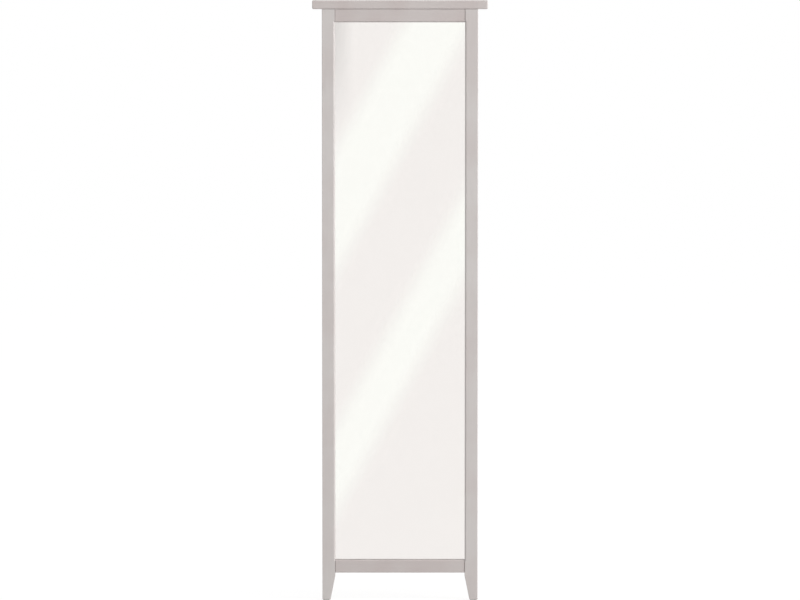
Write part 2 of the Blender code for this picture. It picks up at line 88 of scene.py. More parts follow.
# Corners of the keyhole plates, and rims of the felt pads
PLATE_CORNER = 0.004
PAD_RIM = 0.0004

# Screws: sides, the head's rim and arris in metres, and shares for the tip, recess and thread
SCREW_SIDES = 32
SCREW_RIM = 0.0003
SCREW_ARRIS = 0.0001
TIP_SHARE = 0.6
RECESS_DRAFT = 0.6
THREAD_STEPS = 14
THREAD_ROOT = 0.72
THREAD_SINK = 0.9
THREAD_SHARE = 0.32

# Lacquer: brush lines to the metre, across and along the grain, how dark their hollows are,
# how far the roughness strays from its mean, and the share of the fine peel in the relief
BRUSH_ACROSS = 420.0
BRUSH_ALONG = 9.0
HOLLOW_LEVEL = 0.965
ROUGHNESS_SPREAD = 0.05
PEEL_SHARE = 0.5

# How far the lacquer leans to its warm tone, at the least and at the most
UPRIGHT_WARMTH = (0.15, 0.50)
CROSS_WARMTH = (0.60, 1.0)

# Painted shade and dirt in the open line where a rail meets a stile: half its width, where it has
# faded out, and how dark the lacquer is painted there
JOINT_SHADE_AND_DIRT_LINE = (0.0004, 0.0013)
JOINT_SHADE_AND_DIRT_LEVEL = 0.70

# Glass: width of the green rim, and refraction
GLASS_RIM = 0.003
GLASS_IOR = 1.52

# Floor: its own glow, and the share of the light on it that is added and so keeps the shadow
FLOOR_SIZE = 60.0
FLOOR_GLOW = 0.85
FLOOR_SHARE = 0.16

# Soft box at the upper right
KEY_PLACE = Vector((8.4, -2.7, 3.0))
KEY_SIZE = 4.8

# Camera: width of its sensor in millimetres
SENSOR_WIDTH = 36.0

# Cards that only reflections show, in an arc before the mirror
CARD_DISTANCE = 2.0
CARD_SIZE = (1.2, 3.4)
CARD_TURNS = (0.0, math.radians(35), math.radians(-35), math.radians(70), math.radians(-70))

# Two slanting strips of light and a dimmer corner, in metres as they lie on the mirror:
# each strip's middle and width, and where the corner begins and is dimmest
STRIP_SLANT = 0.545
STRIPS = ((-0.3557, 0.2137), (0.0919, 0.149))
STRIP_BLUR = 0.09
DIM_ACROSS = (-0.136, -0.210)
DIM_UP = (1.40, 1.87)
DIM_LEVEL = 0.80

# Sockets of a node that mixes colours
MIX_SHARE, MIX_FIRST, MIX_SECOND, MIX_RESULT = 0, 6, 7, 2

# A cut that begins at a depth and takes the middle of a layer, given by its lower left and
# upper right
Window = namedtuple("Window", "start low high")


class FrameSettings(bpy.types.PropertyGroup):
    """Sizes and finish of the painted frame."""

    lacquer_cool: bpy.props.FloatVectorProperty(
        name="Lacquer, cool", description="Cooler tone of the satin lacquer",
        subtype="COLOR", size=3, min=0.0, max=1.0, default=(0.616, 0.584, 0.567))
    lacquer_warm: bpy.props.FloatVectorProperty(
        name="Lacquer, warm", description="Warmer tone of the satin lacquer",
        subtype="COLOR", size=3, min=0.0, max=1.0, default=(0.540, 0.476, 0.461))
    lacquer_roughness: bpy.props.FloatProperty(
        name="Lacquer roughness", description="Mean roughness of the satin lacquer",
        subtype="FACTOR", min=0.0, max=1.0, default=0.40)
    mirror_rebate: bpy.props.FloatProperty(
        name="Mirror rebate", description="Width of the step that holds the mirror",
        unit="LENGTH", default=0.008)
    panel_ledge: bpy.props.FloatProperty(
        name="Board ledge", description="Width of the step that holds the back board",
        unit="LENGTH", default=0.009)
    sight_edge: bpy.props.FloatProperty(
        name="Sight edge", description="Chamfer round the opening, on the stiles",
        unit="LENGTH", default=0.0042)
    foot_width: bpy.props.FloatProperty(
        name="Foot width", description="Width of a foot at the floor",
        unit="LENGTH", default=0.026)
    taper_height: bpy.props.FloatProperty(
        name="Taper height", description="Height at which the foot's taper ends",
        unit="LENGTH", default=0.077)
    outer_radius: bpy.props.FloatProperty(
        name="Outer edges", description="Rounding of the stiles' outer front edges",
        unit="LENGTH", default=0.002)
    joint_radius: bpy.props.FloatProperty(
        name="Joint edges", description="Rounding of the edges where rail meets stile",
        unit="LENGTH", default=0.0015)
    edge_radius: bpy.props.FloatProperty(
        name="Plain edges", description="Rounding of the back, foot and rail edges",
        unit="LENGTH", default=0.001)
    arris: bpy.props.FloatProperty(
        name="Arrises", description="Softening of all other edges",
        unit="LENGTH", default=0.0004)
    cap_top_radius: bpy.props.FloatProperty(
        name="Cap, top", description="Rounding of the cap board's upper edges",
        unit="LENGTH", default=0.0035)
    cap_bottom_radius: bpy.props.FloatProperty(
        name="Cap, bottom", description="Rounding of the cap board's lower edges",
        unit="LENGTH", default=0.004)
    cap_corner_radius: bpy.props.FloatProperty(
        name="Cap, corners", description="Rounding of the cap board's front corners",
        unit="LENGTH", default=0.003)


class MirrorSettings(bpy.types.PropertyGroup):
    """Finish of the mirror and of what holds it."""

    silver: bpy.props.FloatVectorProperty(
        name="Silver", description="Colour that the silver coat reflects",
        subtype="COLOR", size=3, min=0.0, max=1.0, default=(0.904, 0.870, 0.845))
    glass_edge: bpy.props.FloatVectorProperty(
        name="Glass edge", description="Green of the pane along its edges",
        subtype="COLOR", size=3, min=0.0, max=1.0, default=(0.62, 0.84, 0.76))
    foam: bpy.props.FloatVectorProperty(
        name="Foam tape", description="Colour of the mounting tape",
        subtype="COLOR", size=3, min=0.0, max=1.0, default=(0.80, 0.79, 0.73))
    rubber: bpy.props.FloatVectorProperty(
        name="Setting blocks", description="Colour of the soft blocks under the pane",
        subtype="COLOR", size=3, min=0.0, max=1.0, default=(0.035, 0.035, 0.037))


class BackSettings(bpy.types.PropertyGroup):
    """Finish of the back board, the dowels and the fittings."""

    board: bpy.props.FloatVectorProperty(
        name="Fibreboard", description="Ground colour of the raw fibreboard",
        subtype="COLOR", size=3, min=0.0, max=1.0, default=(0.26, 0.144, 0.072))
    fibre: bpy.props.FloatVectorProperty(
        name="Fibres", description="Colour of the fibreboard's light fibres",
        subtype="COLOR", size=3, min=0.0, max=1.0, default=(0.40, 0.25, 0.14))
    beech: bpy.props.FloatVectorProperty(
        name="Beech", description="Colour of the dowels",
        subtype="COLOR", size=3, min=0.0, max=1.0, default=(0.617, 0.413, 0.223))
    zinc: bpy.props.FloatVectorProperty(
        name="Zinc", description="Colour of the bright zinc plating",
        subtype="COLOR", size=3, min=0.0, max=1.0, default=(0.515, 0.527, 0.539))
    felt: bpy.props.FloatVectorProperty(
        name="Felt", description="Colour of the felt pads",
        subtype="COLOR", size=3, min=0.0, max=1.0, default=(0.72, 0.70, 0.67))
    recess_width: bpy.props.FloatProperty(
        name="Recess width", description="Width of an arm of the screws' cross recess",
        unit="LENGTH", default=0.0008)
    recess_reach: bpy.props.FloatProperty(
        name="Recess reach", description="Length of an arm of the cross recess",
        unit="LENGTH", default=0.0016)
    recess_depth: bpy.props.FloatProperty(
        name="Recess depth", description="Depth of the cross recess",
        unit="LENGTH", default=0.0012)
    thread_pitch: bpy.props.FloatProperty(
        name="Thread pitch", description="Rise of the screws' thread in one turn",
        unit="LENGTH", default=0.0013)
    plate_arris: bpy.props.FloatProperty(
        name="Plate edges", description="Rounding of the stamped plates' edges",
        unit="LENGTH", default=0.00025)
    pad_corner: bpy.props.FloatProperty(
        name="Pad corners", description="Rounding of the felt pads' corners",
        unit="LENGTH", default=0.004)


class StageSettings(bpy.types.PropertyGroup):
    """Camera, light and background."""

    camera_distance: bpy.props.FloatProperty(
        name="Camera distance", description="From the camera to the point that it looks at",
        unit="LENGTH", default=16.0)
    camera_tilt: bpy.props.FloatProperty(
        name="Camera tilt", description="How far the camera looks down",
        subtype="ANGLE", default=math.radians(4.2))
    aim_height: bpy.props.FloatProperty(
        name="Aim height", description="Height of the point that the camera looks at",
        unit="LENGTH", default=0.9537)
    lens: bpy.props.FloatProperty(
        name="Lens", description="Focal length in millimetres", unit="CAMERA", default=227.74)
    key_power: bpy.props.FloatProperty(
        name="Soft box", description="Power of the soft box at the upper right",
        unit="POWER", default=560.0)
    ambient: bpy.props.FloatProperty(
        name="Ambient", description="Level of the even light from all round", default=0.93)
    floor: bpy.props.FloatVectorProperty(
        name="Floor", description="Colour that the pale floor throws back",
        subtype="COLOR", size=3, min=0.0, max=1.0, default=(0.50, 0.50, 0.50))
    strip_light: bpy.props.FloatVectorProperty(
        name="Strip light", description="Brightness of the two slanting strips in the mirror",
        subtype="COLOR", size=3, min=0.0, max=2.0, default=(1.075, 1.117, 1.098))


class MirrorPanelSettings(bpy.types.PropertyGroup):
    """All that a user would change."""

    frame: bpy.props.PointerProperty(type=FrameSettings)
    mirror: bpy.props.PointerProperty(type=MirrorSettings)
    back: bpy.props.PointerProperty(type=BackSettings)
    stage: bpy.props.PointerProperty(type=StageSettings)


def settings_of(context):
    """The panel's settings in the current scene."""
    return context.scene.mirror_panel


# Meshes


def add_box(bm, low, high):
    """A box between two opposite corners."""
    low = Vector(low)
    high = Vector(high)
    verts = bmesh.ops.create_cube(bm, size=1.0)["verts"]
    bmesh.ops.scale(bm, vec=high - low, verts=verts)
    bmesh.ops.translate(bm, vec=(low + high) / 2, verts=verts)


def slice_along(bm, point, normal):
    """Draw a line on every face that a plane crosses."""
    geometry = [*bm.verts, *bm.edges, *bm.faces]
    bmesh.ops.bisect_plane(bm, geom=geometry, dist=NEAR, plane_co=point, plane_no=normal)


def extruded_verts(bm, faces):
    """Extrude a region of faces, leave nothing within, and give the new vertices."""
    grown = bmesh.ops.extrude_face_region(bm, geom=faces)["geom"]
    bmesh.ops.delete(bm, geom=faces, context="FACES")
    return [item for item in grown if isinstance(item, bmesh.types.BMVert)]


def bevel_edges(bm, edges, width, segments):
    """Round edges, or chamfer them where there is only one segment."""
    bmesh.ops.bevel(bm, geom=edges, offset=width, offset_type="OFFSET", affect="EDGES",
                    segments=segments, profile=0.5, material=-1)


def clean(bm, name):
    """Merge what lies together, drop lines on flat faces, and make sure that the solid is closed."""
    bmesh.ops.remove_doubles(bm, verts=bm.verts, dist=NEAR)
    bmesh.ops.dissolve_limit(bm, angle_limit=FLAT_ANGLE, verts=bm.verts, edges=bm.edges)
    bmesh.ops.recalc_face_normals(bm, faces=bm.faces)
    bm.normal_update()
    open_edges = [edge for edge in bm.edges if not edge.is_manifold]
    if open_edges:
        raise RuntimeError(f"{name} has {len(open_edges)} open edges")


def lies_on(edge, axis, value):
    """Whether an edge lies in a plane across an axis."""
    return all(abs(vert.co[axis] - value) < NEAR for vert in edge.verts)


def runs_along(edge, axis):
    """Whether an edge runs mainly along an axis."""
    step = edge.verts[1].co - edge.verts[0].co
    return abs(step[axis]) > FACING * step.length


def crease(bm):
    """Shade smoothly over all edges but the sharp ones."""
    for edge in bm.edges:
        edge.smooth = edge.calc_face_angle(0.0) < SHARP_ANGLE


def ease_edges(bm, rules, arris):
    """Weigh each outer edge by its rounding, which the first rule that holds gives; return the widest."""
    widest = max(radius for _, radius in rules)
    weights = bm.edges.layers.float.new("bevel_weight_edge")
    for edge in bm.edges:
        if edge.calc_face_angle(0.0) < FLAT_ANGLE:
            continue
        if not edge.is_convex:
            edge.smooth = False
            continue
        radius = next((radius for holds, radius in rules if holds(edge)), arris)
        edge[weights] = radius / widest
    return widest


def add_piece(name, bm, material, slot, *nodes):
    """Close a bmesh into a piece that rides on the frame and stands for its nodes."""
    mesh = bpy.data.meshes.new(name)
    bm.to_mesh(mesh)
    bm.free()
    mesh.shade_smooth()
    mesh.materials.append(material)
    piece = bpy.data.objects.new(name, mesh)
    bpy.context.scene.collection.objects.link(piece)
    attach(piece, BODY)
    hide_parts(*nodes)
    return piece


def shade_evenly(piece):
    """Keep a piece's flat faces evenly shaded up to their rounded edges."""
    normals = piece.modifiers.new("even shading", "WEIGHTED_NORMAL")
    normals.keep_sharp = True


def soften(piece, width, segments, limit="WEIGHT"):
    """Round a piece's edges, by their weights or by their angle, and shade it evenly."""
    bevel = piece.modifiers.new("eased edges", "BEVEL")
    bevel.limit_method = limit
    bevel.angle_limit = BEVEL_ANGLE
    bevel.width = width
    bevel.segments = segments
    bevel.profile = 0.5
    bevel.material = -1
    bevel.use_clamp_overlap = False
    shade_evenly(piece)


def finish_nodes(names, material):
    """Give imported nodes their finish."""
    for name in names:
        node = frame["nodes"][name]
        node.data.materials.clear()
        node.data.materials.append(material)


def nodes_starting(start):
    """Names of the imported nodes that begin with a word, in order."""
    found = sorted(name for name in frame["nodes"] if name.startswith(start))
    if not found:
        raise RuntimeError(f"the frame has no node that begins with {start}")
    return found


# Frame members


def opening():
    """Lower left and upper right corner of the frame's opening, across and up."""
    low = Vector((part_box("left_stile")[1].x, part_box("bottom_rail")[1].z))
    high = Vector((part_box("right_stile")[0].x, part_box("top_rail")[0].z))
    return low, high


def rebate_windows(settings):
    """The narrow step for the mirror and the wide one for the back board."""
    low, high = opening()
    wide = settings.mirror_rebate + settings.panel_ledge
    windows = []
    for node, width in (("mirror_glass", settings.mirror_rebate), ("back_panel", wide)):
        margin = Vector((width, width))
        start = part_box(node)[0].y - CLEARANCE
        windows.append(Window(start, low - margin, high + margin))
    return windows


def plate_window():
    """The pocket for the right keyhole plate."""
    low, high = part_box("hanger_plate_right")
    margin = Vector((CLEARANCE, CLEARANCE))
    return Window(low.y - CLEARANCE, low.xz - margin, high.xz + margin)


def inside(window, point):
    """Whether a point lies within a window, seen from the front."""
    across = window.low.x < point.x < window.high.x
    up = window.low.y < point.z < window.high.y
    return across and up


def grow_back(bm, start, end, windows):
    """Extrude a member's back from one depth to the next, without what the windows take."""
    bm.normal_update()
    faces = []
    for face in bm.faces:
        middle = face.calc_center_median()
        at_back = face.normal.y > FACING and abs(middle.y - start) < NEAR
        if at_back and not any(inside(window, middle) for window in windows):
            faces.append(face)
    bmesh.ops.translate(bm, vec=(0.0, end - start, 0.0), verts=extruded_verts(bm, faces))


def stepped_member(node, windows):
    """A frame member built up in layers from its front; each leaves out the windows begun so far."""
    low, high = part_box(node)
    starts = sorted({window.start for window in windows})
    bm = bmesh.new()
    add_box(bm, low, (high.x, starts[0], high.z))
    for window in windows:
        for corner in (window.low, window.high):
            slice_along(bm, (corner.x, 0.0, 0.0), DIRECTIONS[AXIS_X])
            slice_along(bm, (0.0, 0.0, corner.y), DIRECTIONS[AXIS_Z])
    for start, end in zip(starts, [*starts[1:], high.y]):
        grow_back(bm, start, end, [window for window in windows if window.start <= start])
    clean(bm, node)
    return bm


def round_pocket(bm, window, radius):
    """Round the pocket's two corners that lie in the wood, as a cutter leaves them."""
    corners = []
    for edge in bm.edges:
        middle = (edge.verts[0].co + edge.verts[1].co) / 2
        in_corner = min(abs(middle.z - window.low.y), abs(middle.z - window.high.y)) < NEAR
        if runs_along(edge, AXIS_Y) and in_corner and abs(middle.x - window.high.x) < NEAR:
            corners.append(edge)
    bevel_edges(bm, corners, radius, CORNER_SEGMENTS)


def taper_foot(bm, low, high, settings):
    """Draw the inner side of the foot in towards the floor."""
    slice_along(bm, (0.0, 0.0, settings.taper_height), DIRECTIONS[AXIS_Z])
    for vert in bm.verts:
        if vert.co.z < low.z + NEAR and vert.co.x < low.x + NEAR:
            vert.co.x = high.x - settings.foot_width


def chamfer_stile(bm, low, sight_edge):
    """Plane the stopped chamfer on the stile's inner front edge, mitred at its ends."""
    bottom, top = (corner.y for corner in opening())
    slice_along(bm, (low.x + sight_edge, 0.0, 0.0), DIRECTIONS[AXIS_X])
    slice_along(bm, (0.0, low.y + sight_edge, 0.0), DIRECTIONS[AXIS_Y])
    slice_along(bm, (0.0, low.y, bottom - sight_edge), Vector((0, -1, 1)).normalized())
    slice_along(bm, (0.0, low.y, top + sight_edge), Vector((0, 1, 1)).normalized())
    bm.normal_update()
    corner = []
    for face in bm.faces:
        middle = face.calc_center_median()
        on_front = face.normal.y < -FACING and middle.x < low.x + sight_edge
        on_side = face.normal.x < -FACING and middle.y < low.y + sight_edge
        if bottom < middle.z < top and (on_front or on_side):
            corner.append(face)
    bmesh.ops.delete(bm, geom=corner, context="FACES")
    rims = [edge for edge in bm.edges if edge.is_boundary and runs_along(edge, AXIS_Z)]
    bmesh.ops.bridge_loops(bm, edges=rims)
    bmesh.ops.holes_fill(bm, edges=bm.edges, sides=3)


def beside_rail(edge):
    """Whether an upright edge lies below or above the frame's opening."""
    low, high = opening()
    heights = sorted(vert.co.z for vert in edge.verts)
    return runs_along(edge, AXIS_Z) and (heights[1] < low.y or heights[0] > high.y)


def build_stile(side, settings):
    """One upright with rebates, plate pocket, tapered foot and sight edge; the left one is mirrored."""
    low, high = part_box("right_stile")
    pocket = plate_window()
    bm = stepped_member("right_stile", [*rebate_windows(settings), pocket])
    round_pocket(bm, pocket, PLATE_CORNER + CLEARANCE)
    taper_foot(bm, low, high, settings)
    chamfer_stile(bm, low, settings.sight_edge)
    outer = high.x
    if side == "left":
        bmesh.ops.scale(bm, vec=(-1.0, 1.0, 1.0), verts=bm.verts)
        outer = -outer
    clean(bm, f"{side}_stile")
    rules = (
        (lambda edge: lies_on(edge, AXIS_Y, low.y) and lies_on(edge, AXIS_X, outer), settings.outer_radius),
        (lambda edge: lies_on(edge, AXIS_Y, high.y) and lies_on(edge, AXIS_X, outer), settings.edge_radius),
        (lambda edge: lies_on(edge, AXIS_Z, low.z), settings.edge_radius),
        (lambda edge: lies_on(edge, AXIS_Y, low.y) and beside_rail(edge), settings.joint_radius),
    )
    widest = ease_edges(bm, rules, settings.arris)
    finish = lacquer("lacquer_upright", AXIS_Z, UPRIGHT_WARMTH, settings)
    stile = add_piece(f"{side}_stile_painted", bm, finish, "painted_wood", f"{side}_stile")
    soften(stile, widest, EASED_SEGMENTS)


def build_rail(word, settings):
    """One cross member with its rebates and sight edge."""
    node = f"{word}_rail"
    low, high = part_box(node)
    inner, outer = (high.z, low.z) if word == "bottom" else (low.z, high.z)
    bm = stepped_member(node, rebate_windows(settings))
    setback = low.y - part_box("right_stile")[0].y
    sight = [edge for edge in bm.edges if lies_on(edge, AXIS_Y, low.y) and lies_on(edge, AXIS_Z, inner)]
    bevel_edges(bm, sight, settings.sight_edge - setback, segments=1)
    clean(bm, node)
    outer_radius = settings.edge_radius if word == "bottom" else settings.arris
    rules = (
        (lambda edge: lies_on(edge, AXIS_Y, low.y) and lies_on(edge, AXIS_Z, outer), outer_radius),
        (lambda edge: lies_on(edge, AXIS_Y, low.y) and runs_along(edge, AXIS_Z), settings.joint_radius),
        (lambda edge: lies_on(edge, AXIS_Y, high.y) and lies_on(edge, AXIS_Z, outer), settings.edge_radius),
    )
    widest = ease_edges(bm, rules, settings.arris)
    finish = lacquer("lacquer_cross", AXIS_X, CROSS_WARMTH, settings)
    rail = add_piece(f"{node}_painted", bm, finish, "painted_wood", node)
    soften(rail, widest, EASED_SEGMENTS)


def build_cap(settings):
    """The board on top, rounded at its front and ends and flat to the wall."""
    low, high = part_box("cap_board")
    bm = bmesh.new()
    add_box(bm, low, high)
    clean(bm, "cap_board")
    rules = (
        (lambda edge: lies_on(edge, AXIS_Y, high.y), settings.edge_radius),
        (lambda edge: lies_on(edge, AXIS_Z, high.z), settings.cap_top_radius),
        (lambda edge: lies_on(edge, AXIS_Z, low.z), settings.cap_bottom_radius),
        (lambda edge: runs_along(edge, AXIS_Z), settings.cap_corner_radius),
    )
    widest = ease_edges(bm, rules, settings.arris)
    finish = lacquer("lacquer_cross", AXIS_X, CROSS_WARMTH, settings)
    cap = add_piece("cap_board_painted", bm, finish, "painted_wood", "cap_board")
    soften(cap, widest, CAP_SEGMENTS)


# Fittings


def turned(bm, profile, sides):
    """A solid turned about Z from (radius, height) points."""
    verts = [bm.verts.new((radius, 0.0, height)) for radius, height in profile]
    edges = [bm.edges.new(pair) for pair in zip(verts, verts[1:])]
    bmesh.ops.spin(bm, geom=[*verts, *edges], cent=(0, 0, 0), axis=DIRECTIONS[AXIS_Z], angle=math.tau,
                   steps=sides, use_merge=True)
    bmesh.ops.remove_doubles(bm, verts=bm.verts, dist=NEAR)


def each_once(items):
    """Items without repeats, in their order."""
    return list(dict.fromkeys(items))


def head_faces(bm):
    """The flat faces on top of a screw's head."""
    bm.normal_update()
    return [face for face in bm.faces if face.normal.z > FACING and abs(face.calc_center_median().z) < NEAR]


def sink_cross(bm, settings):
    """Sink the cross recess into a screw's head, narrower towards its floor."""
    half = settings.recess_width / 2
    reach = settings.recess_reach
    bmesh.ops.dissolve_faces(bm, faces=head_faces(bm))
    for axis in (AXIS_X, AXIS_Y):
        for place in (-reach, -half, half, reach):
            faces = head_faces(bm)
            edges = each_once(edge for face in faces for edge in face.edges)
            verts = each_once(vert for face in faces for vert in face.verts)
            direction = DIRECTIONS[axis]
            bmesh.ops.bisect_plane(bm, geom=[*verts, *edges, *faces], dist=NEAR,
                                   plane_co=direction * place, plane_no=direction)
    arms = []
    for face in head_faces(bm):
        middle = face.calc_center_median()
        across = sorted((abs(middle.x), abs(middle.y)))
        if across[0] < half and across[1] < reach:
            arms.append(face)
    floor = extruded_verts(bm, arms)
    bmesh.ops.translate(bm, vec=(0.0, 0.0, -settings.recess_depth), verts=floor)
    bmesh.ops.scale(bm, vec=(RECESS_DRAFT, RECESS_DRAFT, 1.0), verts=floor)


def wind_thread(bm, crest, root, top, bottom, pitch):
    """Wind a thread of triangular section round a screw's core."""
    half = pitch * THREAD_SHARE
    section = ((root, top + half), (crest, top), (root, top - half))
    verts = [bm.verts.new((radius, 0.0, height)) for radius, height in section]
    edges = [bm.edges.new(pair) for pair in zip(verts, [*verts[1:], verts[0]])]
    turns = (top - bottom) / pitch
    steps = round(turns * THREAD_STEPS)
    bmesh.ops.spin(bm, geom=[*verts, *edges], cent=(0, 0, 0), axis=DIRECTIONS[AXIS_Z],
                   angle=math.tau * turns, steps=steps, dvec=(0.0, 0.0, (bottom - top) / steps))
    bmesh.ops.holes_fill(bm, edges=bm.edges, sides=3)


def build_screw(node, settings):
    """One countersunk wood screw with a cross recess and a thread, in the place of its node."""
    low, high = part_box(node)
    head = (high.x - low.x) / 2
    length = high.y - low.y
    crest = head / 2
    root = crest * THREAD_ROOT
    cone_end = -SCREW_RIM - (head - root)
    thread_end = -length + 2 * crest
    profile = (
        (0.0, 0.0),
        (head - SCREW_ARRIS, 0.0),
        (head, -SCREW_ARRIS),
        (head, -SCREW_RIM),
        (root, cone_end),
        (root, thread_end),
        (root * TIP_SHARE, -length + crest),
        (0.0, -length),
    )
    bm = bmesh.new()
    turned(bm, profile, SCREW_SIDES)
    sink_cross(bm, settings)
    wind_thread(bm, crest, root * THREAD_SINK, cone_end - crest / 2, thread_end - crest / 2,
                settings.thread_pitch)
    bmesh.ops.recalc_face_normals(bm, faces=bm.faces)
    bmesh.ops.rotate(bm, verts=bm.verts, matrix=Matrix.Rotation(-RIGHT_ANGLE, 3, "X"))
    bmesh.ops.translate(bm, vec=((low.x + high.x) / 2, high.y, (low.z + high.z) / 2), verts=bm.verts)
    crease(bm)
    add_piece(f"{node}_cross", bm, zinc("bright_zinc", settings), "zinc_steel", node)


def build_plate(side, settings):
    """One stamped keyhole plate with rounded edges, from its node's outline."""
    node = f"hanger_plate_{side}"
    bm = bmesh.new()
    bm.from_mesh(frame["nodes"][node].data)
    clean(bm, node)
    crease(bm)
    plate = add_piece(f"{node}_stamped", bm, zinc("bright_zinc", settings), "zinc_steel", node)
    soften(plate, settings.plate_arris, RIM_SEGMENTS, "ANGLE")


def build_pad(side, settings):
    """One felt pad with cut round corners and softened faces."""
    node = f"foot_pad_{side}"
    low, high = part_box(node)
    bm = bmesh.new()
    add_box(bm, low, high)
    corners = [edge for edge in bm.edges if runs_along(edge, AXIS_Z)]
    bevel_edges(bm, corners, settings.pad_corner, CORNER_SEGMENTS)
    rims = [edge for edge in bm.edges if lies_on(edge, AXIS_Z, low.z) or lies_on(edge, AXIS_Z, high.z)]
    bevel_edges(bm, rims, PAD_RIM, RIM_SEGMENTS)
    bmesh.ops.recalc_face_normals(bm, faces=bm.faces)
    pad = add_piece(f"{node}_felt", bm, felt("needle_felt", settings), "felt", node)
    shade_evenly(pad)


# Materials


def add_node(tree, kind, inputs=None, **options):
    """A new node. Inputs are given by name or number, as a value or as the socket that feeds them."""
    node = tree.nodes.new(kind)
    for option, value in options.items():
        setattr(node, option, value)
    for key, value in (inputs or {}).items():
        if isinstance(value, bpy.types.NodeSocket):
            tree.links.new(value, node.inputs[key])
        else:
            node.inputs[key].default_value = value
    return node


def start_material(name):
    """An empty material with its shader, and where on the object a point lies."""
    material = bpy.data.materials.new(name)
    material.use_nodes = True
    tree = material.node_tree
    shader = tree.nodes["Principled BSDF"]
    place = add_node(tree, "ShaderNodeTexCoord").outputs["Object"]
    return material, tree, shader, place


def parts_of(tree, place):
    """A place's parts along X, Y and Z."""
    return add_node(tree, "ShaderNodeSeparateXYZ", {0: place}).outputs


def noise(tree, place, spots, detail=3.0, roughness=0.5):
    """Soft random spots, so many of them to the metre."""
    inputs = {"Vector": place, "Scale": spots, "Detail": detail, "Roughness": roughness}
    return add_node(tree, "ShaderNodeTexNoise", inputs).outputs[0]


def streaks(tree, place, counts, detail=3.0, roughness=0.6):
    """Soft random streaks, with a count of them to the metre along each axis."""
    drawn = add_node(tree, "ShaderNodeMapping", {"Vector": place, "Scale": counts}).outputs["Vector"]
    return noise(tree, drawn, spots=1.0, detail=detail, roughness=roughness)


def between(tree, value, low, high, start=0.0, end=1.0, smooth=False):
    """A value from the range low to high, brought into the range start to end and kept there."""
    inputs = {"Value": value, "From Min": low, "From Max": high, "To Min": start, "To Max": end}
    steps = "SMOOTHSTEP" if smooth else "LINEAR"
    return add_node(tree, "ShaderNodeMapRange", inputs, interpolation_type=steps).outputs["Result"]


def blend(tree, share, first, second):
    """A colour between two others."""
    inputs = {MIX_SHARE: share, MIX_FIRST: first, MIX_SECOND: second}
    return add_node(tree, "ShaderNodeMix", inputs, data_type="RGBA").outputs[MIX_RESULT]


def compute(tree, operation, first, second=0.0):
    """One step of arithmetic."""
    return add_node(tree, "ShaderNodeMath", {0: first, 1: second}, operation=operation).outputs[0]


def away_from(tree, value, middle):
    """How far a value lies from a middle, on either side."""
    return compute(tree, "ABSOLUTE", compute(tree, "SUBTRACT", value, middle))


def opaque(colour, level=1.0):
    """A colour with its opacity, at a level."""
    return (*(part * level for part in colour), 1.0)


def shades(tree, share, colour, dark, light):
    """A colour between a darker and a lighter level of itself."""
    return blend(tree, share, opaque(colour, dark), opaque(colour, light))


def emboss(tree, shader, height, strength, distance):
    """Raise the surface a little by a height."""
    inputs = {"Height": height, "Strength": strength, "Distance": distance}
    tree.links.new(add_node(tree, "ShaderNodeBump", inputs).outputs["Normal"], shader.inputs["Normal"])


def feed(tree, shader, colour, roughness):
    """Connect a shader's colour and roughness."""
    tree.links.new(colour, shader.inputs["Base Color"])
    tree.links.new(roughness, shader.inputs["Roughness"])


def joint_shade_and_dirt(tree, place):
    """1 in the open lines at the rails' ends, where shade and dirt are painted into the lacquer, and 0
    elsewhere.
    """
    parts = parts_of(tree, place)
    across = away_from(tree, compute(tree, "ABSOLUTE", parts["X"]), opening()[1].x)
    full, faded = JOINT_SHADE_AND_DIRT_LINE
    near = between(tree, across, low=full, high=faded, start=1.0, end=0.0)
    beside = []
    for node in ("top_rail", "bottom_rail"):
        low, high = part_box(node)
        away = away_from(tree, parts["Z"], (low.z + high.z) / 2)
        beside.append(compute(tree, "LESS_THAN", away, (high.z - low.z) / 2))
    return compute(tree, "MULTIPLY", near, compute(tree, "MAXIMUM", *beside))


def lacquer(name, along, warmth, settings):
    """Satin lacquer on wood: two close greys in soft patches, and brush lines that follow the grain."""
    if name in bpy.data.materials:
        return bpy.data.materials[name]
    material, tree, shader, place = start_material(name)
    counts = [BRUSH_ACROSS, BRUSH_ACROSS, BRUSH_ACROSS]
    counts[along] = BRUSH_ALONG
    lines = streaks(tree, place, counts, detail=4.0, roughness=0.6)
    least, most = warmth
    clouds = noise(tree, place, spots=7.0, detail=2.0)
    patches = between(tree, clouds, low=0.38, high=0.62, start=least, end=most)
    cool = settings.lacquer_cool
    warm = settings.lacquer_warm
    ground = blend(tree, patches, opaque(cool), opaque(warm))
    hollow = blend(tree, patches, opaque(cool, HOLLOW_LEVEL), opaque(warm, HOLLOW_LEVEL))
    brushed = blend(tree, between(tree, lines, low=0.35, high=0.70), hollow, ground)
    # Painted shade and dirt: the lacquer is darker in the open joint lines at the rails' ends
    colour = blend(tree, joint_shade_and_dirt(tree, place), brushed, opaque(warm, JOINT_SHADE_AND_DIRT_LEVEL))
    smoothest = settings.lacquer_roughness - ROUGHNESS_SPREAD
    roughest = settings.lacquer_roughness + ROUGHNESS_SPREAD
    feed(tree, shader, colour, between(tree, lines, low=0.3, high=0.7, start=smoothest, end=roughest))
    peel = noise(tree, place, spots=900.0, detail=2.0)
    height = compute(tree, "ADD", lines, compute(tree, "MULTIPLY", peel, PEEL_SHARE))
    emboss(tree, shader, height, strength=0.10, distance=0.0002)
    return material


